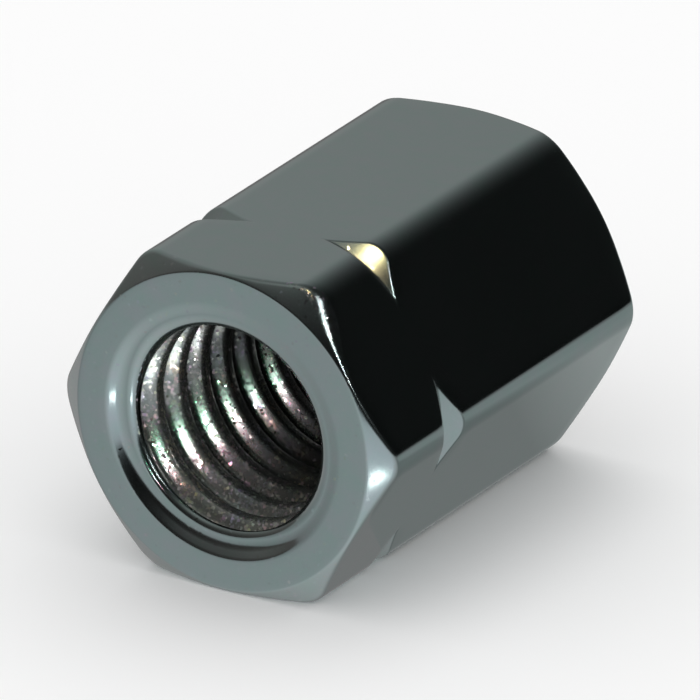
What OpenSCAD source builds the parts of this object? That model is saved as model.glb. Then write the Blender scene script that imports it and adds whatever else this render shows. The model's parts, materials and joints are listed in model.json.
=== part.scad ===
// Standoff nut: a long hexagonal nut, turned from round-edged bar and tapped right through.
// The bore runs along Y, with the grooved end at -Y, and the nut lies on one of its flats.
// The origin is the middle of the nut's footprint on that flat, and sizes are in millimetres.

/* [Bar] */
// Width of the hexagonal bar across its flats
across_flats = 8; // [7.5:0.1:10]
// Length of the nut from end face to end face
nut_length = 11.3; // [8:0.1:30]
// Radius of the bar's rounded long edges
edge_round = 0.75; // [0.2:0.05:1]

/* [Ends] */
// How far the rim of each end face lies inside the flats
rim_inset = 0.07; // [0.03:0.01:0.3]
// Slope of the turned chamfer at each end, measured from the end face
chamfer_angle = 36; // [25:1:45]

/* [Groove] */
// Distance from the near end face to the bottom of the groove
groove_from_end = 2.9; // [2.4:0.1:4]
// Angle between the two walls of the groove
groove_angle = 100; // [60:5:120]
// How far the bottom of the groove stays outside the flats, so that it cuts the edges only
groove_clearance = 0.13; // [0.05:0.01:0.25]

/* [Bore] */
// Diameter of the bore at the crests of its thread
bore_d = 5; // [4:0.1:5.3]
// Diameter of the soft lip where the bore opens into the dish
lip_d = 5.8; // [5.6:0.1:6.1]
// Radius of the soft lip
lip_round = 0.14; // [0.08:0.02:0.2]
// Slope of the lead-in between the lip and the bore's wall, measured from the end face
lead_in_angle = 58; // [45:1:65]
// Diameter of the shallow dish that each end face has round the lip
dish_d = 6.3; // [6.2:0.1:6.8]
// Slope of the dish, measured from the end face
dish_angle = 37; // [15:1:45]
// Radius of the soft edge between end face and dish
dish_round = 0.2; // [0.1:0.05:0.3]

/* [Hidden] */
$fn = 96;

// Corners of the sharp hexagon, and of the smaller one that the rounded edges are drawn about
corner_r = across_flats / sqrt(3);
edge_centre_r = (across_flats - 2 * edge_round) / sqrt(3);
// The rounding circles stand this little bit proud of the flats, which then trim them cleanly
edge_trim = 0.002;
// What the lathe takes off is drawn out to this radius, just clear of the bar's edges
blank_r = corner_r + 0.1;
// Radius of each end face, and the length of its chamfer out to the blank's radius
rim_r = across_flats / 2 - rim_inset;
chamfer_length = (blank_r - rim_r) * tan(chamfer_angle);
// Radius at the bottom of the groove, and half its width at the blank's radius
groove_r = across_flats / 2 + groove_clearance;
groove_half_width = (blank_r - groove_r) * tan(groove_angle / 2);
// Radius at which the dish meets the lip, and the dish's depth there
lip_r = lip_d / 2;
dish_depth = (dish_d / 2 - lip_r) * tan(dish_angle);
// The lip would be a sharp corner at this radius, and the lead-in reaches this far below it
lead_in_r = lip_r - lip_round * tan(lead_in_angle / 2);
lead_in_depth = (lead_in_r - bore_d / 2) * tan(lead_in_angle);
// Each soft edge starts and ends this far from the sharp corner that it replaces
dish_reach = dish_round * tan(dish_angle / 2);
lip_reach = lip_r - lead_in_r;
// How far cutters run past the faces that they cut
overrun = 1;

// Cross-section of the bar: flats joined by rounded edges, with two edges on the X axis
module bar_section() {
    intersection() {
        circle(r = corner_r, $fn = 6);
        union() {
            // Three broad bands reach the middle of every flat and stop where the rounding starts
            for (turn = [0, 60, 120])
                rotate(turn)
                    square([edge_centre_r, 2 * across_flats], center = true);
            for (turn = [0:60:300])
                rotate(turn)
                    translate([edge_centre_r, 0])
                        circle(r = edge_round + edge_trim);
        }
    }
}

// Half-section of what the lathe leaves outside: two chamfered ends and the groove's notch
module turned_outline() {
    polygon([
        [0, 0],
        [rim_r, 0],
        [blank_r, chamfer_length],
        [blank_r, groove_from_end - groove_half_width],
        [groove_r, groove_from_end],
        [blank_r, groove_from_end + groove_half_width],
        [blank_r, nut_length - chamfer_length],
        [rim_r, nut_length],
        [0, nut_length]
    ]);
}

// Half-section of one dish, from the end face at height 0 down into the nut
module dish_outline() {
    polygon([
        [0, -overrun],
        [dish_d / 2, -overrun],
        [dish_d / 2, 0],
        [lip_r, dish_depth],
        [0, dish_depth]
    ]);
    // Soft edge, flush with the end face on its outer side and with the slope on its inner side
    difference() {
        polygon([
            [dish_d / 2, 0],
            [dish_d / 2, -overrun],
            [dish_d / 2 + dish_reach, -overrun],
            [dish_d / 2 + dish_reach, 0],
            [dish_d / 2 - dish_reach * cos(dish_angle), dish_reach * sin(dish_angle)]
        ]);
        translate([dish_d / 2 + dish_reach, dish_round])
            circle(r = dish_round);
    }
}

// Half-section of the lead-in, from the dish down to the bore's wall, with its soft lip
module lead_in_outline() {
    polygon([
        [0, dish_depth],
        [lead_in_r, dish_depth],
        [bore_d / 2, dish_depth + lead_in_depth],
        [0, dish_depth + lead_in_depth]
    ]);
    // Soft lip, flush with the dish's floor on its outer side and with the lead-in below
    difference() {
        polygon([
            [lead_in_r, 0],
            [lip_r, 0],
            [lip_r, dish_depth],
            [lead_in_r - lip_reach * cos(lead_in_angle), dish_depth + lip_reach * sin(lead_in_angle)]
        ]);
        translate([lip_r, dish_depth + lip_round])
            circle(r = lip_round);
    }
}

module mouth() {
    rotate_extrude()
        union() {
            dish_outline();
            lead_in_outline();
        }
}

// Tapped bore with a dish, a soft lip and a lead-in at each end
module bore() {
    translate([0, 0, -overrun])
        cylinder(d = bore_d, h = nut_length + 2 * overrun);
    mouth();
    translate([0, 0, nut_length])
        mirror([0, 0, 1])
            mouth();
}

module standoff_nut() {
    color([0.46, 0.48, 0.48])
        translate([0, -nut_length / 2, across_flats / 2])
            rotate([-90, 0, 0])
                difference() {
                    intersection() {
                        linear_extrude(height = nut_length)
                            bar_section();
                        rotate_extrude()
                            turned_outline();
                    }
                    bore();
                }
}

standoff_nut();
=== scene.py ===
"""A plated standoff nut lying on a pale table, with its bore threaded from end to end."""

import json
import math

import bmesh
import bpy
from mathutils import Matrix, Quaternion, Vector


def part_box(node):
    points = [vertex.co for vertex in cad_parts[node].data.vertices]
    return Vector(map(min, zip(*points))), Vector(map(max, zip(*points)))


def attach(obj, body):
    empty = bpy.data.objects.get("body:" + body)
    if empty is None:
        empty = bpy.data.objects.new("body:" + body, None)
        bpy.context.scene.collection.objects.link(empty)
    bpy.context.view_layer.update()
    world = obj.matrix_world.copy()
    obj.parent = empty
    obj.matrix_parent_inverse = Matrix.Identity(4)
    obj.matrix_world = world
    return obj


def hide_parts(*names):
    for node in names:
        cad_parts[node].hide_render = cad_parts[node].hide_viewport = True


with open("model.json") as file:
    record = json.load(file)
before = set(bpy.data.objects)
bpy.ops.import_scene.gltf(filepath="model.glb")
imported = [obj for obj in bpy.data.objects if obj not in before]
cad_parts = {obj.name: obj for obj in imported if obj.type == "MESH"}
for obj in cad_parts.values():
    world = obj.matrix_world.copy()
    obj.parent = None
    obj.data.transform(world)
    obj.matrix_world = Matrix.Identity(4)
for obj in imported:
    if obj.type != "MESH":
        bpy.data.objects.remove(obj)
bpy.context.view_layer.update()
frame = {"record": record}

# ---------------------------------------------------------------- sizes, in metres
MM = 0.001
NUT_LOW, NUT_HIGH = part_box("standoff_nut")
THREAD_MOUNT = next(mount for mount in frame["record"]["mounts"] if mount["name"] == "thread")

# The bar: its flats, its length and the rounding of its long edges
APOTHEM = (NUT_HIGH.z - NUT_LOW.z) / 2
LENGTH = NUT_HIGH.y - NUT_LOW.y
AXIS_HEIGHT = (NUT_HIGH.z + NUT_LOW.z) / 2
EDGE_ROUND = 0.75 * MM
EDGE_CENTRE = 2 * (APOTHEM - EDGE_ROUND) / math.sqrt(3)
# Half of the angle that each rounded edge takes up round the bore
ROUNDED_ARC = math.atan2(EDGE_ROUND / 2, EDGE_CENTRE + EDGE_ROUND * math.sqrt(3) / 2)

# The turned ends: each flat ring has a chamfer outside it and a dish with a soft lip inside it
RIM_RADIUS = APOTHEM - 0.07 * MM
CHAMFER_ANGLE = math.radians(36)
CHAMFER_SLOPE = math.tan(CHAMFER_ANGLE)
CREST_RADIUS = THREAD_MOUNT["dims"]["r_mm"] * MM
DISH_RADIUS = CREST_RADIUS + 0.4 * MM
MOUTH_RADIUS = CREST_RADIUS + 0.65 * MM
LEAD_IN_ANGLE = math.radians(56)
# Down to this depth the bore's wall is torn, and below it the thread's own finish starts
LEAD_IN_END = 0.5 * MM

# The dish was scraped out by hand: one side is steep with a tight lip, the other shallow and soft
DISH_ANGLE_LEAST = math.radians(12)
DISH_ANGLE_MOST = math.radians(37)
LIP_ROUND_LEAST = 0.22 * MM
LIP_ROUND_MOST = 0.38 * MM
# Where round the bore the steep side has its middle, how far it reaches and how far it fades on
DISH_SIDE = math.radians(232)
DISH_STEEP_REACH = math.radians(50)
DISH_FADE = math.radians(60)

# The V groove, which cuts the six long edges and leaves the middle of each flat whole
GROOVE_PLACE = 2.9 * MM
GROOVE_RADIUS = APOTHEM + 0.13 * MM
GROOVE_ANGLE = math.radians(100)
GROOVE_SLOPE = math.tan(GROOVE_ANGLE / 2)
# On the flats, where there is no groove, its rows of faces stay this far apart
LEAST_GROOVE = 0.03 * MM

# Small roundings that the cutter and the plating leave on each turned edge
RIM_SOFTNESS = 0.04 * MM
MOUTH_SOFTNESS = 0.07 * MM
SHOULDER_SOFTNESS = 0.1 * MM
GROOVE_SOFTNESS = 0.05 * MM

# One stretch of the near shoulder is worn rounder than the rest, and its metal is torn
WORN_SOFTNESS = 0.3 * MM
WORN_PLACE = math.radians(50)
WORN_SPREAD = math.radians(9)
WORN_REACH = 2 * WORN_SPREAD

# The thread: crests at the bore's radius, roots a thread depth further out, fading at both ends
PITCH = 1.0 * MM
THREAD_DEPTH = 0.36 * MM
THREAD_START = 0.15
# From the middle of a root to the middle of a crest: shares of root and flank, the rest is crest
ROOT_SHARE = 0.12
FLANK_SHARE = 0.7
FADE_START = 0.15 * MM
FADE_LENGTH = 0.6 * MM

# How finely the mesh is divided: columns round the bore, and rows along each half-section
COLUMNS = 264
COLUMN_CROWDING = 0.5
ROWS_PER_TURN = 18
BORE_ROWS = round(LENGTH / PITCH * ROWS_PER_TURN)
END_FACE_ROWS = 3
COLLAR_ROWS = 6
BODY_ROWS = 14
BEND_STEPS = 4
LIP_STEPS = 12
# The dish's slope has one row of its own, this share of the way out
DISH_ROW = 0.35
# A rounding takes at most this share of each side, so that two on one side never meet
BEND_SHARE = 0.45

# The nut's finishes, in the order of its material slots
MATERIAL_BAR, MATERIAL_TURNED, MATERIAL_TORN, MATERIAL_THREAD = range(4)


# ---------------------------------------------------------------- the nut's shape
def bar_radius(angle):
    """Distance from the axis to the bar's skin at an angle from an edge of the hexagon."""
    off_edge = (angle + math.pi / 6) % (math.pi / 3) - math.pi / 6
    if abs(off_edge) < ROUNDED_ARC:
        across = EDGE_CENTRE * math.sin(off_edge)
        return EDGE_CENTRE * math.cos(off_edge) + math.sqrt(EDGE_ROUND**2 - across**2)
    return APOTHEM / math.cos(math.pi / 6 - abs(off_edge))


def bend(before, corner, after, reach):
    """A small rounding at a corner, tangent to the lines from it to the points on both sides."""
    back = before - corner
    ahead = after - corner
    start = corner + back * min(BEND_SHARE, reach / back.length)
    end = corner + ahead * min(BEND_SHARE, reach / ahead.length)
    points = []
    for step in range(BEND_STEPS + 1):
        t = step / BEND_STEPS
        points.append(start * (1 - t) ** 2 + corner * 2 * t * (1 - t) + end * t**2)
    return points


def run(start, end, rows):
    """Points evenly spaced between two points, without the points themselves."""
    return [start.lerp(end, row / (rows + 1)) for row in range(1, rows + 1)]


def ease(value):
    """Rises from 0 to 1 as the value does, level at both ends."""
    value = min(1, max(0, value))
    return value * value * (3 - 2 * value)


def steepness(angle):
    """How much of the steep side of the dish there is at an angle round the bore, from 0 to 1."""
    away = abs((angle - DISH_SIDE + math.pi) % math.tau - math.pi)
    return ease((DISH_STEEP_REACH + DISH_FADE - away) / DISH_FADE)


def dish_depth(angle):
    """Depth of the dish's floor below the end face at an angle round the bore."""
    lean = DISH_ANGLE_LEAST + (DISH_ANGLE_MOST - DISH_ANGLE_LEAST) * steepness(angle)
    return (MOUTH_RADIUS - DISH_RADIUS) * math.tan(lean)


def lip_round(angle):
    """Radius of the bore's soft lip at an angle round the bore."""
    return LIP_ROUND_MOST + (LIP_ROUND_LEAST - LIP_ROUND_MOST) * steepness(angle)


def lead_in_radius(angle, depth):
    """Distance from the axis to the soft lip and the lead-in cone at a depth below the dish."""
    soft = lip_round(angle)
    lip_radius = CREST_RADIUS + soft
    soft_depth = soft * (1 - math.cos(LEAD_IN_ANGLE))
    if depth < soft_depth:
        return lip_radius - math.sqrt(soft**2 - (soft - max(0, depth)) ** 2)
    start = lip_radius - soft * math.sin(LEAD_IN_ANGLE)
    return start - (depth - soft_depth) / math.tan(LEAD_IN_ANGLE)


def bore_radius(angle, depth):
    """Distance from the axis to the tapped bore's wall at a depth below the near end."""
    from_end = min(depth, LENGTH - depth)
    turn = (depth / PITCH + angle / math.tau + THREAD_START) % 1
    off_root = abs(2 * turn - 1)
    height = ease((ROOT_SHARE + FLANK_SHARE - off_root) / FLANK_SHARE)
    height *= ease((from_end - FADE_START) / FADE_LENGTH)
    lead_in = lead_in_radius(angle, from_end - dish_depth(angle))
    return max(CREST_RADIUS + THREAD_DEPTH * height, lead_in)


def end_ring(skin, angle, far):
    """Corners of one turned end, from the dish out to the bar, as radius and depth."""
    shoulder = (skin - RIM_RADIUS) * CHAMFER_SLOPE
    corners = [
        (DISH_RADIUS, dish_depth(angle)),
        (MOUTH_RADIUS, 0),
        (RIM_RADIUS, 0),
        (skin, shoulder),
    ]
    return [Vector((radius, LENGTH - depth if far else depth)) for radius, depth in corners]


def bore_lip(angle, far):
    """The bore's soft lip, from the lead-in cone out to the dish, as radius and depth."""
    points = []
    for step in range(LIP_STEPS + 1):
        lean = LEAD_IN_ANGLE * (1 - step / LIP_STEPS)
        depth = dish_depth(angle) + lip_round(angle) * (1 - math.cos(lean))
        depth = LENGTH - depth if far else depth
        points.append(Vector((bore_radius(angle, depth), depth)))
    return points


def shoulder_softness(angle):
    """How soft the near shoulder is at an angle: one stretch of it is worn rounder."""
    away = (angle - WORN_PLACE) / WORN_SPREAD
    return SHOULDER_SOFTNESS + WORN_SOFTNESS * math.exp(-(away**2))


def section(angle):
    """One half-section of the nut at an angle, with the material that follows each point."""
    skin = bar_radius(angle)
    cut = max((skin - GROOVE_RADIUS) * GROOVE_SLOPE, LEAST_GROOVE)
    groove_in = Vector((skin, GROOVE_PLACE - cut))
    groove_low = Vector((min(skin, GROOVE_RADIUS), GROOVE_PLACE))
    groove_out = Vector((skin, GROOVE_PLACE + cut))
    dish, mouth, rim, shoulder = end_ring(skin, angle, far=False)
    far_dish, far_mouth, far_rim, far_shoulder = end_ring(skin, angle, far=True)
    groove_skin = MATERIAL_TURNED if skin > GROOVE_RADIUS else MATERIAL_BAR
    worn = abs(angle - WORN_PLACE) < WORN_REACH
    shoulder_skin = MATERIAL_TORN if worn else MATERIAL_TURNED

    points = []
    skins = []

    def add(new_points, material):
        """Carries the half-section on through more points."""
        for point in new_points:
            points.append(point)
            skins.append(material)

    add(bore_lip(angle, far=False), MATERIAL_TURNED)
    add([dish, dish.lerp(mouth, DISH_ROW)], MATERIAL_TURNED)
    add(bend(dish, mouth, rim, MOUTH_SOFTNESS), MATERIAL_TURNED)
    add(run(points[-1], rim, END_FACE_ROWS), MATERIAL_TURNED)
    add(bend(mouth, rim, shoulder, RIM_SOFTNESS), MATERIAL_TURNED)
    add(bend(rim, shoulder, groove_in, shoulder_softness(angle)), shoulder_skin)
    # What follows the last point of this rounding, and of the groove's, is the bar's own skin
    skins[-1] = MATERIAL_BAR
    add(run(points[-1], groove_in, COLLAR_ROWS), MATERIAL_BAR)
    add(bend(shoulder, groove_in, groove_low, GROOVE_SOFTNESS), groove_skin)
    add(bend(groove_in, groove_low, groove_out, GROOVE_SOFTNESS), groove_skin)
    add(bend(groove_low, groove_out, far_shoulder, GROOVE_SOFTNESS), groove_skin)
    skins[-1] = MATERIAL_BAR
    add(run(points[-1], far_shoulder, BODY_ROWS), MATERIAL_BAR)
    add(bend(groove_out, far_shoulder, far_rim, SHOULDER_SOFTNESS), MATERIAL_TURNED)
    add(bend(far_shoulder, far_rim, far_mouth, RIM_SOFTNESS), MATERIAL_TURNED)
    add(run(points[-1], far_mouth, END_FACE_ROWS), MATERIAL_TURNED)
    add(bend(far_rim, far_mouth, far_dish, MOUTH_SOFTNESS), MATERIAL_TURNED)
    add([far_dish.lerp(far_mouth, DISH_ROW), far_dish], MATERIAL_TURNED)
    add(reversed(bore_lip(angle, far=True)), MATERIAL_TURNED)

    first = points[0].y
    for row in range(1, BORE_ROWS):
        depth = LENGTH - first - (LENGTH - 2 * first) * row / BORE_ROWS
        leads_in = min(depth, LENGTH - depth) < LEAD_IN_END
        material = MATERIAL_TORN if leads_in else MATERIAL_THREAD
        add([Vector((bore_radius(angle, depth), depth))], material)
    return points, skins


def crowd(turn):
    """Turns an even share of a turn into an angle, with columns closer at the six long edges."""
    sixth = turn * 6 - round(turn * 6)
    # Half a sixth either way stays where it is, because 4 * 0.5**3 is 0.5
    eased = sixth * COLUMN_CROWDING + 4 * (1 - COLUMN_CROWDING) * sixth**3
    return (round(turn * 6) + eased) * math.pi / 3


def spin_blank(bm, points, place):
    """Spins one half-section round the bore into a closed ring of evenly spaced columns."""
    outline = []
    for index, point in enumerate(points):
        vert = bm.verts.new((point.x, point.y, 0))
        vert[place] = index
        outline.append(vert)
    edges = [bm.edges.new((outline[i - 1], outline[i])) for i in range(len(outline))]
    bmesh.ops.spin(
        bm,
        geom=outline + edges,
        cent=(0, 0, 0),
        axis=(0, 1, 0),
        angle=math.tau,
        steps=COLUMNS,
        use_merge=True,
    )


def settle_columns(bm, sections, place, column):
    """Moves each column of the blank to its own angle and onto its own half-section."""
    for vert in bm.verts:
        turn = round(math.atan2(vert.co.z, vert.co.x) / math.tau * COLUMNS) % COLUMNS
        vert[column] = turn
        angle = crowd(turn / COLUMNS)
        radius, depth = sections[turn][0][vert[place]]
        vert.co = (
            radius * math.cos(angle),
            depth + NUT_LOW.y,
            radius * math.sin(angle) + AXIS_HEIGHT,
        )


def share_out_finishes(bm, sections, place, column):
    """Gives each face the finish of its strip, or the later one where its two columns differ."""
    last = len(sections[0][0]) - 1
    for face in bm.faces:
        places = sorted({vert[place] for vert in face.verts})
        wraps = places[0] == 0 and places[-1] == last
        strip = places[-1] if wraps else places[0]
        face.material_index = max(sections[vert[column]][1][strip] for vert in face.verts)
        face.smooth = True


def hand_over(bm, name):
    """Makes an object of a finished bmesh and puts it in the scene."""
    mesh = bpy.data.meshes.new(name)
    bm.to_mesh(mesh)
    bm.free()
    thing = bpy.data.objects.new(name, mesh)
    bpy.context.scene.collection.objects.link(thing)
    return thing


def make_nut():
    """Spins a half-section round the bore, then settles each column on its own section."""
    bm = bmesh.new()
    place = bm.verts.layers.int.new("place")
    column = bm.verts.layers.int.new("column")
    sections = [section(crowd(turn / COLUMNS)) for turn in range(COLUMNS)]
    spin_blank(bm, sections[0][0], place)
    settle_columns(bm, sections, place, column)
    share_out_finishes(bm, sections, place, column)
    bmesh.ops.recalc_face_normals(bm, faces=bm.faces)
    nut = hand_over(bm, "standoff_nut_turned")
    weigh = nut.modifiers.new("weighted normals", "WEIGHTED_NORMAL")
    weigh.mode = "FACE_AREA"
    weigh.weight = 50
    return nut


# ---------------------------------------------------------------- finishes
# The plating's two tones: a greenish one and a faintly pink one
COOL = (0.186, 0.241, 0.231, 1)
WARM = (0.208, 0.233, 0.24, 1)

# Inside the thread the plating is matt, darker and brownish
THREAD_COOL = (0.13, 0.155, 0.148, 1)
THREAD_WARM = (0.16, 0.158, 0.145, 1)
# Painted shade of the deep bore: the thread keeps its full colour down to the first depth, and from
# the second one on it keeps this much of its tone
SHADE_START_DEPTH = 1.5 * MM
FULL_SHADE_DEPTH = 5 * MM
DEEP_SHADE_TONE = 0.25

# How fine each pattern is, in cells to the metre
PLATING_CLOUDS = 2000
DULLNESS_CLOUDS = 260
LATHE_RINGS = 9000
DRAWN_LINES = 5000
FLECKS = 16000
FLECK_HUES = 1800
# Drawn lines are this much coarser along the bar than across it
LINE_STRETCH = 0.03
# Neighbouring flecks lean to one hue this strongly
HUE_PULL = 2.5
# How high the tool marks stand
MARK_HEIGHT = 0.0002 * MM
MIDDLE = (0.5, 0.5, 0.5)


def new_group(name, inputs, outputs):
    """An empty shader group with named sockets, given as name, kind and default."""
    group = bpy.data.node_groups.new(name, "ShaderNodeTree")
    for label, kind, value in inputs:
        socket = group.interface.new_socket(label, in_out="INPUT", socket_type=kind)
        socket.default_value = value
    for label, kind in outputs:
        group.interface.new_socket(label, in_out="OUTPUT", socket_type=kind)
    way_in = group.nodes.new("NodeGroupInput")
    way_out = group.nodes.new("NodeGroupOutput")
    return group, way_in, way_out


def noise(tree, coordinates, scale, detail, roughness=0.5):
    """A Noise Texture of a given fineness."""
    node = tree.nodes.new("ShaderNodeTexNoise")
    node.inputs["Scale"].default_value = scale
    node.inputs["Detail"].default_value = detail
    node.inputs["Roughness"].default_value = roughness
    tree.links.new(coordinates, node.inputs["Vector"])
    return node


def maths(tree, operation, *values):
    """A Math node fed with sockets or plain numbers."""
    node = tree.nodes.new("ShaderNodeMath")
    node.operation = operation
    for socket, value in zip(node.inputs, values):
        if isinstance(value, (int, float)):
            socket.default_value = value
        else:
            tree.links.new(value, socket)
    return node.outputs["Value"]


def vector_maths(tree, operation, *values):
    """A Vector Math node fed with sockets, plain vectors or, for a scale, a number socket."""
    node = tree.nodes.new("ShaderNodeVectorMath")
    node.operation = operation
    sockets = [node.inputs[0], node.inputs["Scale"] if operation == "SCALE" else node.inputs[1]]
    for socket, value in zip(sockets, values):
        if isinstance(value, (int, float, tuple)):
            socket.default_value = value
        else:
            tree.links.new(value, socket)
    return node.outputs["Vector"]


def ramp(tree, value, start, end, low=0, high=1):
    """A node whose Result goes from low to high as a value goes from start to end."""
    node = tree.nodes.new("ShaderNodeMapRange")
    node.inputs["From Min"].default_value = start
    node.inputs["From Max"].default_value = end
    node.inputs["To Min"].default_value = low
    node.inputs["To Max"].default_value = high
    tree.links.new(value, node.inputs["Value"])
    return node


def spread(tree, clouds, low, high):
    """Stretches the middle half of a noise to low..high and clips what lies outside it."""
    return ramp(tree, clouds.outputs["Fac"], 0.25, 0.75, low, high).outputs["Result"]


def use_group(tree, group, values):
    """Places a shader group in a material with the material's own values."""
    node = tree.nodes.new("ShaderNodeGroup")
    node.node_tree = group
    for label, value in values.items():
        node.inputs[label].default_value = value
    return node


def make_plating_group():
    """Cloudy plating: its hue drifts a little, and its dullness has wide clouds of its own."""
    group, way_in, way_out = new_group(
        "cloudy_plating",
        [
            ("Coordinates", "NodeSocketVector", (0, 0, 0)),
            ("Cool", "NodeSocketColor", COOL),
            ("Warm", "NodeSocketColor", WARM),
            ("Dullness", "NodeSocketFloat", 0.1),
            ("Dullness drift", "NodeSocketFloat", 0.03),
        ],
        [("Colour", "NodeSocketColor"), ("Roughness", "NodeSocketFloat")],
    )
    coordinates = way_in.outputs["Coordinates"]
    clouds = noise(group, coordinates, PLATING_CLOUDS, 4, 0.6)
    dullness_clouds = noise(group, coordinates, DULLNESS_CLOUDS, 2)
    mix = group.nodes.new("ShaderNodeMix")
    mix.data_type = "RGBA"
    group.links.new(spread(group, clouds, 0, 1), mix.inputs["Factor"])
    group.links.new(way_in.outputs["Cool"], mix.inputs["A"])
    group.links.new(way_in.outputs["Warm"], mix.inputs["B"])
    group.links.new(mix.outputs["Result"], way_out.inputs["Colour"])
    drift = spread(group, dullness_clouds, -1, 1)
    drift = maths(group, "MULTIPLY", drift, way_in.outputs["Dullness drift"])
    rough = maths(group, "ADD", drift, way_in.outputs["Dullness"])
    group.links.new(rough, way_out.inputs["Roughness"])
    return group


def nut_coordinates(tree):
    """Object coordinates moved so that the bore's axis is their own Y axis."""
    source = tree.nodes.new("ShaderNodeTexCoord")
    centre = tree.nodes.new("ShaderNodeMapping")
    centre.inputs["Location"].default_value = (0, 0, -AXIS_HEIGHT)
    tree.links.new(source.outputs["Object"], centre.inputs["Vector"])
    return centre.outputs["Vector"]


def lathe_rings(tree, coordinates):
    """A value that changes only with the distance from the bore's axis, as a lathe tool leaves."""
    parts = tree.nodes.new("ShaderNodeSeparateXYZ")
    tree.links.new(coordinates, parts.inputs["Vector"])
    aside = maths(tree, "MULTIPLY", parts.outputs["X"], parts.outputs["X"])
    upright = maths(tree, "MULTIPLY", parts.outputs["Z"], parts.outputs["Z"])
    squares = maths(tree, "ADD", aside, upright)
    radius = tree.nodes.new("ShaderNodeCombineXYZ")
    tree.links.new(maths(tree, "SQRT", squares), radius.inputs["X"])
    return noise(tree, radius.outputs["Vector"], LATHE_RINGS, 2).outputs["Fac"]


def drawn_lines(tree, coordinates):
    """A value that hardly changes along the bar, as the drawing die leaves."""
    stretch = tree.nodes.new("ShaderNodeMapping")
    stretch.inputs["Scale"].default_value = (1, LINE_STRETCH, 1)
    tree.links.new(coordinates, stretch.inputs["Vector"])
    return noise(tree, stretch.outputs["Vector"], DRAWN_LINES, 3).outputs["Fac"]


def make_grit_group():
    """Torn crystal grain that a cutter leaves: rare flecks are tilted and tinted on their own."""
    group, way_in, way_out = new_group(
        "torn_grain",
        [
            ("Coordinates", "NodeSocketVector", (0, 0, 0)),
            ("Normal", "NodeSocketVector", (0, 0, 0)),
            ("Colour", "NodeSocketColor", COOL),
            ("Roughness", "NodeSocketFloat", 0.2),
            ("Fleck roughness", "NodeSocketFloat", 0.14),
            ("Fleck fineness", "NodeSocketFloat", FLECKS),
            ("Rarity", "NodeSocketFloat", 3),
            ("Tilt", "NodeSocketFloat", 0.5),
            ("Tint", "NodeSocketFloat", 1.5),
            ("Shine", "NodeSocketFloat", 0),
        ],
        [
            ("Colour", "NodeSocketColor"),
            ("Roughness", "NodeSocketFloat"),
            ("Normal", "NodeSocketVector"),
        ],
    )
    flecks = group.nodes.new("ShaderNodeTexVoronoi")
    group.links.new(way_in.outputs["Coordinates"], flecks.inputs["Vector"])
    group.links.new(way_in.outputs["Fleck fineness"], flecks.inputs["Scale"])
    chance = group.nodes.new("ShaderNodeTexWhiteNoise")
    group.links.new(flecks.outputs["Color"], chance.inputs["Vector"])
    # Each fleck draws its own chance, and the higher the rarity, the fewer of them stand out
    rare = maths(group, "POWER", chance.outputs["Value"], way_in.outputs["Rarity"])

    # A fleck that stands out has a dullness of its own
    dull = way_in.outputs["Roughness"]
    change = maths(group, "SUBTRACT", way_in.outputs["Fleck roughness"], dull)
    rough = maths(group, "MULTIPLY_ADD", change, rare, dull)
    group.links.new(rough, way_out.inputs["Roughness"])

    # It leans its own way
    lean = vector_maths(group, "SUBTRACT", flecks.outputs["Color"], MIDDLE)
    lean = vector_maths(group, "SCALE", lean, maths(group, "MULTIPLY", rare, way_in.outputs["Tilt"]))
    lean = vector_maths(group, "ADD", lean, way_in.outputs["Normal"])
    group.links.new(vector_maths(group, "NORMALIZE", lean), way_out.inputs["Normal"])

    # It has a hue of its own, pulled towards that of its neighbours, and some extra shine
    hue = noise(group, way_in.outputs["Coordinates"], FLECK_HUES, 1).outputs["Color"]
    hue = vector_maths(group, "SUBTRACT", hue, MIDDLE)
    hue = vector_maths(group, "SCALE", hue, HUE_PULL)
    tint = vector_maths(group, "SUBTRACT", chance.outputs["Color"], MIDDLE)
    tint = vector_maths(group, "ADD", tint, hue)
    tint = vector_maths(group, "SCALE", tint, maths(group, "MULTIPLY", rare, way_in.outputs["Tint"]))
    shine = maths(group, "MULTIPLY_ADD", rare, way_in.outputs["Shine"], 1)
    tint = vector_maths(group, "ADD", tint, shine)
    tint = vector_maths(group, "MULTIPLY", tint, way_in.outputs["Colour"])
    group.links.new(tint, way_out.inputs["Colour"])
    return group


def plated(name, plating, dullness, drift, cool=COOL, warm=WARM):
    """Plated steel: its material, its shader, the coordinates on it and its plating."""
    material = bpy.data.materials.new(name)
    material.use_nodes = True
    tree = material.node_tree
    shader = tree.nodes["Principled BSDF"]
    shader.inputs["Metallic"].default_value = 1
    coordinates = nut_coordinates(tree)
    tones = {"Cool": cool, "Warm": warm, "Dullness": dullness, "Dullness drift": drift}
    film = use_group(tree, plating, tones)
    tree.links.new(coordinates, film.inputs["Coordinates"])
    tree.links.new(film.outputs["Colour"], shader.inputs["Base Color"])
    tree.links.new(film.outputs["Roughness"], shader.inputs["Roughness"])
    return material, shader, coordinates, film


def tool_marks(tree, height):
    """A normal that follows fine marks of a tool."""
    bump = tree.nodes.new("ShaderNodeBump")
    bump.inputs["Strength"].default_value = 1
    bump.inputs["Distance"].default_value = MARK_HEIGHT
    tree.links.new(height, bump.inputs["Height"])
    return bump.outputs["Normal"]


def make_bar_finish(plating):
    """The bar's own skin, drawn smooth before it was plated."""
    material, shader, coordinates, _ = plated("plated_bar", plating, dullness=0.12, drift=0.03)
    tree = material.node_tree
    marks = tool_marks(tree, drawn_lines(tree, coordinates))
    tree.links.new(marks, shader.inputs["Normal"])
    return material


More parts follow.
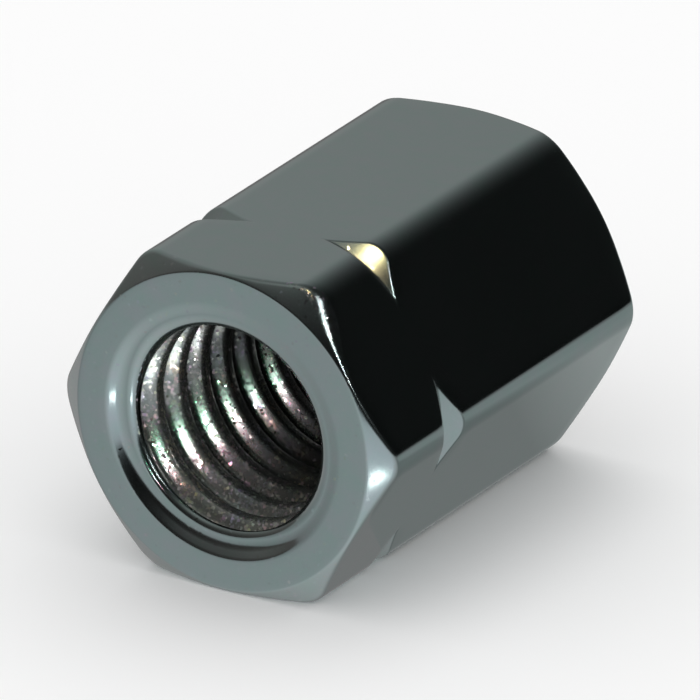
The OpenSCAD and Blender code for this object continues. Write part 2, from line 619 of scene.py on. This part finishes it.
def cut_surface(name, plating, grit, dullness, flecks, **tones):
    """A surface that a tool cut, with its shader: rings of the lathe, with torn grain between."""
    material, shader, coordinates, film = plated(name, plating, dullness, drift=0.04, **tones)
    tree = material.node_tree
    grain = use_group(tree, grit, flecks)
    rings = tool_marks(tree, lathe_rings(tree, coordinates))
    tree.links.new(coordinates, grain.inputs["Coordinates"])
    tree.links.new(rings, grain.inputs["Normal"])
    tree.links.new(film.outputs["Colour"], grain.inputs["Colour"])
    tree.links.new(film.outputs["Roughness"], grain.inputs["Roughness"])
    tree.links.new(grain.outputs["Colour"], shader.inputs["Base Color"])
    tree.links.new(grain.outputs["Roughness"], shader.inputs["Roughness"])
    tree.links.new(grain.outputs["Normal"], shader.inputs["Normal"])
    return material, shader, grain


def make_turned_finish(plating, grit):
    """End faces, chamfers, dishes and groove: cleanly turned, with a fleck here and there."""
    flecks = {"Rarity": 30, "Tilt": 0.2, "Tint": 0.1, "Shine": 0}
    material, _, _ = cut_surface("plated_turning", plating, grit, 0.17, flecks)
    return material


def make_torn_finish(plating, grit):
    """The worn shoulder and the first of the bore: duller, and full of small flecks."""
    flecks = {"Rarity": 3, "Tilt": 0.35, "Tint": 0.4, "Shine": 0.5}
    material, _, _ = cut_surface("plated_torn", plating, grit, 0.2, flecks)
    return material


def make_thread_finish(plating, grit):
    """The thread: torn grain under plating, darkened towards the middle of the bore by painted
    shade.
    """
    flecks = {"Rarity": 3, "Tilt": 0.28, "Tint": 0.8, "Shine": 1.6}
    tones = {"cool": THREAD_COOL, "warm": THREAD_WARM}
    material, shader, grain = cut_surface("plated_thread", plating, grit, 0.26, flecks, **tones)
    shader.inputs["Metallic"].default_value = 0.72
    tree = material.node_tree
    # The painted shade of the deep bore comes between the grain's colour and the shader
    parts = tree.nodes.new("ShaderNodeSeparateXYZ")
    tree.links.new(nut_coordinates(tree), parts.inputs["Vector"])
    from_middle = maths(tree, "ABSOLUTE", parts.outputs["Y"])
    full_shade_edge = LENGTH / 2 - FULL_SHADE_DEPTH
    shade_edge = LENGTH / 2 - SHADE_START_DEPTH
    fade = ramp(tree, from_middle, full_shade_edge, shade_edge, DEEP_SHADE_TONE, 1)
    fade.interpolation_type = "SMOOTHSTEP"
    bore_shaded = vector_maths(tree, "SCALE", grain.outputs["Colour"], fade.outputs["Result"])
    tree.links.new(bore_shaded, shader.inputs["Base Color"])
    return material


# ---------------------------------------------------------------- the studio
# How far the table reaches each way from the nut
FLOOR_REACH = 1.5
FLOOR_WHITE = (0.95, 0.95, 0.95, 1)


def make_floor():
    """The pale matt table top, which keeps the nut's shadow."""
    bm = bmesh.new()
    bmesh.ops.create_grid(bm, x_segments=1, y_segments=1, size=FLOOR_REACH)
    floor = hand_over(bm, "table")
    # It lets the low glint through from below, and reflections see the tent and strip instead
    floor.visible_shadow = False
    floor.visible_glossy = False
    material = bpy.data.materials.new("pale_table")
    material.use_nodes = True
    shader = material.node_tree.nodes["Principled BSDF"]
    shader.inputs["Base Color"].default_value = FLOOR_WHITE
    shader.inputs["Roughness"].default_value = 1
    shader.inputs["Specular IOR Level"].default_value = 0
    floor.data.materials.append(material)


def keep_to_reflections(thing):
    """Hides a stand-in from the camera, and keeps its light and its shadow off the table."""
    thing.visible_camera = False
    thing.visible_diffuse = False
    thing.visible_shadow = False
    thing.visible_transmission = False


def make_glow(thing, name):
    """Makes a stand-in glow: returns the glow's node tree, its Emission and its coordinates."""
    material = bpy.data.materials.new(name)
    material.use_nodes = True
    material.cycles.emission_sampling = "NONE"
    thing.data.materials.append(material)
    tree = material.node_tree
    tree.nodes.remove(tree.nodes["Principled BSDF"])
    glow = tree.nodes.new("ShaderNodeEmission")
    tree.links.new(glow.outputs["Emission"], tree.nodes["Material Output"].inputs["Surface"])
    source = tree.nodes.new("ShaderNodeTexCoord")
    return tree, glow, source.outputs["Object"]


TENT_RADIUS = 0.4
# The cloth above and the table below blend within this share of the radius round the horizon
HORIZON = 0.02

# The tent's own faint light, where no patch of light reaches
TENT_DARK = (0.001, 0.001, 0.001)

# Soft patches of light on the tent: where each lies (x, y, z), its tightness and its colour
UPPER_PATCHES = [
    ((-0.6, 0.66, 0.45), 4.7, (0.56, 0.58, 0.57)),
    ((-0.95, -0.3, 0.2), 3, (0.2, 0.17, 0.16)),
    ((0.1, -0.8, 0.6), 8, (0.02, 0.02, 0.02)),
    ((-0.02, -0.38, 0.92), 14, (0.54, 0.54, 0.52)),
    ((-0.65, -0.05, 0.75), 7, (0.27, 0.28, 0.27)),
]
LOWER_PATCHES = [
    ((0.59, -0.7, -0.4), 1.15, (1.37, 1.37, 1.37)),
    ((0.59, -0.7, -0.4), 8, (0.03, 0.1, 0.2)),
    ((-0.49, -0.78, -0.4), 6, (0.08, 0.12, 0.13)),
    ((-0.1, -0.3, -0.95), 5, (0.32, 0.31, 0.31)),
    ((-0.5, -0.3, -0.8), 4, (0.1, 0.1, 0.1)),
    ((-0.95, 0.1, -0.25), 7, (0.58, 0.53, 0.53)),
    ((0.5, 0.78, -0.4), 10, (0.3, 0.3, 0.3)),
]


def patch_light(tree, towards, patches):
    """The sum of all soft round patches, in a direction as seen from the tent's middle."""
    total = TENT_DARK
    for place, tightness, colour in patches:
        dot = tree.nodes.new("ShaderNodeVectorMath")
        dot.operation = "DOT_PRODUCT"
        dot.inputs[1].default_value = Vector(place).normalized()
        tree.links.new(towards, dot.inputs[0])
        fade = maths(tree, "MULTIPLY", maths(tree, "SUBTRACT", dot.outputs["Value"], 1), tightness)
        patch = vector_maths(tree, "SCALE", colour, maths(tree, "EXPONENT", fade))
        total = vector_maths(tree, "ADD", patch, total)
    return total


def make_tent():
    """A round tent that only reflections see, glowing with painted light: dim cloth above and a pale
    table top below.
    """
    bm = bmesh.new()
    bmesh.ops.create_uvsphere(bm, u_segments=48, v_segments=24, radius=TENT_RADIUS)
    for face in bm.faces:
        face.smooth = True
    tent = hand_over(bm, "reflected_tent")
    keep_to_reflections(tent)

    tree, glow, coordinates = make_glow(tent, "tent_glow")
    unit = tree.nodes.new("ShaderNodeVectorMath")
    unit.operation = "NORMALIZE"
    tree.links.new(coordinates, unit.inputs[0])
    height = tree.nodes.new("ShaderNodeSeparateXYZ")
    tree.links.new(unit.outputs["Vector"], height.inputs["Vector"])
    above = ramp(tree, height.outputs["Z"], -HORIZON, HORIZON)
    blend = tree.nodes.new("ShaderNodeMix")
    blend.data_type = "VECTOR"
    table = patch_light(tree, unit.outputs["Vector"], LOWER_PATCHES)
    cloth = patch_light(tree, unit.outputs["Vector"], UPPER_PATCHES)
    tree.links.new(above.outputs["Result"], blend.inputs["Factor"])
    tree.links.new(table, blend.inputs["A"])
    tree.links.new(cloth, blend.inputs["B"])
    tree.links.new(blend.outputs["Result"], glow.inputs["Color"])


# A glowing stand-in for the strip of table that the low flat mirrors: its size, its middle and its
# faintly green white
STRIP_SIZE = (50 * MM, 44 * MM)
STRIP_MIDDLE = (24 * MM, 19.8 * MM)
STRIP_COLOUR = (0.94, 1, 0.99, 1)

# Its glow holds a painted shadow of the nut: dim beside the nut, brighter along it, away from the
# camera, and again aside from it, to the right
STRIP_ALONG = (4.5 * MM, 8.5 * MM)
STRIP_SHADOW_ALONG_LIGHT = (0.34, 0.56)
STRIP_ASIDE = (4 * MM, 9 * MM)
STRIP_SHADOW_ASIDE_LIGHT = (0, 0.17)


def make_table_strip():
    """The glowing table that the low flat mirrors, with the nut's shadow painted in: dim beside the
    nut, brighter beyond and to the right.
    """
    bm = bmesh.new()
    # A square of one metre each way, scaled to the strip's size
    bmesh.ops.create_grid(bm, x_segments=1, y_segments=1, size=0.5)
    bmesh.ops.scale(bm, vec=(*STRIP_SIZE, 1), verts=bm.verts)
    bmesh.ops.translate(bm, vec=(*STRIP_MIDDLE, 0), verts=bm.verts)
    strip = hand_over(bm, "mirrored_strip")
    keep_to_reflections(strip)

    tree, glow, coordinates = make_glow(strip, "mirrored_table_painted_shadow")
    parts = tree.nodes.new("ShaderNodeSeparateXYZ")
    tree.links.new(coordinates, parts.inputs["Vector"])
    # Painted shadow of the nut: the glow rises away from the nut, along it and to the right
    along = ramp(tree, parts.outputs["Y"], *STRIP_ALONG, *STRIP_SHADOW_ALONG_LIGHT)
    aside = ramp(tree, parts.outputs["X"], *STRIP_ASIDE, *STRIP_SHADOW_ASIDE_LIGHT)
    shadowed_glow = maths(tree, "ADD", along.outputs["Result"], aside.outputs["Result"])
    glow.inputs["Color"].default_value = STRIP_COLOUR
    tree.links.new(shadowed_glow, glow.inputs["Strength"])


# The room's white light on matt surfaces, where 1 is the white that the camera and gloss see
ROOM_FILL = 0.95


def make_world():
    """A white room: plain white to the camera and in gloss, and a little less as light."""
    world = bpy.data.worlds.new("white_room")
    world.use_nodes = True
    tree = world.node_tree
    background = tree.nodes["Background"]
    background.inputs["Color"].default_value = (1, 1, 1, 1)
    path = tree.nodes.new("ShaderNodeLightPath")
    seen = maths(tree, "MAXIMUM", path.outputs["Is Camera Ray"], path.outputs["Is Glossy Ray"])
    seen = maths(tree, "MAXIMUM", seen, path.outputs["Is Transmission Ray"])
    extra = maths(tree, "MULTIPLY", seen, 1 - ROOM_FILL)
    tree.links.new(maths(tree, "ADD", extra, ROOM_FILL), background.inputs["Strength"])
    bpy.context.scene.world = world


# A distant lamp shines alike from anywhere, so this is only where it is drawn
LAMP_DISTANCE = 0.3
SHADED_LAMP_DISTANCE = 10 * MM
GOLD = (1, 0.72, 0.36)
WHITE = (1, 1, 1)
# Where round the bore the groove shows its gold glint: just past the upper right edge
GLINT_PLACE = math.radians(61)

# Lamps that shine down the bore and miss its lip: name, direction, power in watts and colour
BORE_LAMPS = [
    ("ridge_glint", (0.425, -0.747, -0.511), 0.000018, WHITE),
    ("front_glint", (0.33, -0.9, 0.28), 0.00004, WHITE),
    ("rose_glint", (0.26, -0.9, 0.34), 0.000007, (1, 0.2, 0.3)),
    ("green_glint", (0.42, -0.87, 0.24), 0.000006, (0.15, 1, 0.5)),
    ("violet_glint", (0.24, -0.93, 0.27), 0.000006, (0.35, 0.3, 1)),
]


def hang_lamp(lamp, name, target, towards, distance):
    """Hangs a lamp at a distance from its target, in a given direction, and aims it there."""
    lamp.cycles.use_multiple_importance_sampling = False
    direction = Vector(towards)
    thing = bpy.data.objects.new(name, lamp)
    thing.rotation_mode = "QUATERNION"
    thing.rotation_quaternion = direction.to_track_quat("Z", "Y")
    thing.location = Vector(target) + direction.normalized() * distance
    bpy.context.scene.collection.objects.link(thing)
    return thing


def make_distant_lamp(name, towards, strength, width, glint):
    """A distant lamp, width degrees across. A glint shows only in gloss, other lamps never do."""
    lamp = bpy.data.lights.new(name, "SUN")
    lamp.energy = strength
    lamp.angle = math.radians(width)
    thing = hang_lamp(lamp, name, (0, 0, 0), towards, LAMP_DISTANCE)
    thing.visible_glossy = glint
    thing.visible_diffuse = not glint


def make_shaded_lamp(name, target, towards, width, cone, power, colour):
    """A small glint lamp close to the nut: its shade, cone degrees wide, lights only its target."""
    lamp = bpy.data.lights.new(name, "AREA")
    lamp.shape = "DISK"
    lamp.size = width
    lamp.spread = math.radians(cone)
    lamp.energy = power
    lamp.color = colour
    thing = hang_lamp(lamp, name, target, towards, SHADED_LAMP_DISTANCE)
    thing.visible_camera = False
    thing.visible_diffuse = False


def make_lamps():
    """One soft key light for the table, and the glints that the plating shows."""
    make_distant_lamp("soft_key", (-0.37, 0.44, 0.82), 0.3, 60, glint=False)
    make_distant_lamp("low_glint", (0.562, -0.667, -0.49), 0.11, 6, glint=True)
    make_distant_lamp("side_glint", (0.8, -0.065, 0.595), 1.1, 28, glint=True)
    groove = (
        GROOVE_RADIUS * math.cos(GLINT_PLACE),
        NUT_LOW.y + GROOVE_PLACE,
        AXIS_HEIGHT + GROOVE_RADIUS * math.sin(GLINT_PLACE),
    )
    above_groove = (0.23, -0.455, 0.86)
    make_shaded_lamp("groove_glint", groove, above_groove, 2.8 * MM, 14, 0.000018, GOLD)
    mouth = (0, NUT_LOW.y, AXIS_HEIGHT)
    for name, towards, power, colour in BORE_LAMPS:
        make_shaded_lamp(name, mouth, towards, 3.8 * MM, 6, power, colour)


# The camera looks along the nut from its grooved end, from the right and from above
CAMERA_AZIMUTH = 31.92
CAMERA_ELEVATION = 23.53
CAMERA_ROLL = -0.29
CAMERA_DISTANCE = 0.7
VIEW_WIDTH = 16.1275 * MM
VIEW_RIGHT = 2.955 * MM
VIEW_UP = 1.9 * MM
# Width of the camera's sensor, in Blender's own unit for it
SENSOR = 36


def make_camera():
    """A long lens, far off, set beside the near end's middle by the view's own two offsets."""
    azimuth = math.radians(CAMERA_AZIMUTH)
    elevation = math.radians(CAMERA_ELEVATION)
    level = math.cos(elevation)
    back = Vector((math.sin(azimuth) * level, -math.cos(azimuth) * level, math.sin(elevation)))
    turn = Quaternion(back, math.radians(CAMERA_ROLL)) @ back.to_track_quat("Z", "Y")
    right = turn @ Vector((1, 0, 0))
    up = turn @ Vector((0, 1, 0))
    near_centre = Vector((0, NUT_LOW.y, AXIS_HEIGHT))
    lens = bpy.data.cameras.new("camera")
    lens.sensor_width = SENSOR
    lens.lens = SENSOR * CAMERA_DISTANCE / VIEW_WIDTH
    lens.clip_start = 1 * MM
    camera = bpy.data.objects.new("camera", lens)
    camera.rotation_mode = "QUATERNION"
    camera.rotation_quaternion = turn
    camera.location = near_centre + right * VIEW_RIGHT + up * VIEW_UP + back * CAMERA_DISTANCE
    bpy.context.scene.collection.objects.link(camera)
    bpy.context.scene.camera = camera


# ---------------------------------------------------------------- putting it together
bpy.context.scene.view_settings.view_transform = "Standard"

nut = make_nut()
plating = make_plating_group()
grit = make_grit_group()
nut.data.materials.append(make_bar_finish(plating))
nut.data.materials.append(make_turned_finish(plating, grit))
nut.data.materials.append(make_torn_finish(plating, grit))
nut.data.materials.append(make_thread_finish(plating, grit))
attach(nut, "root")
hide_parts("standoff_nut")

make_floor()
make_tent()
make_table_strip()
make_world()
make_lamps()
make_camera()
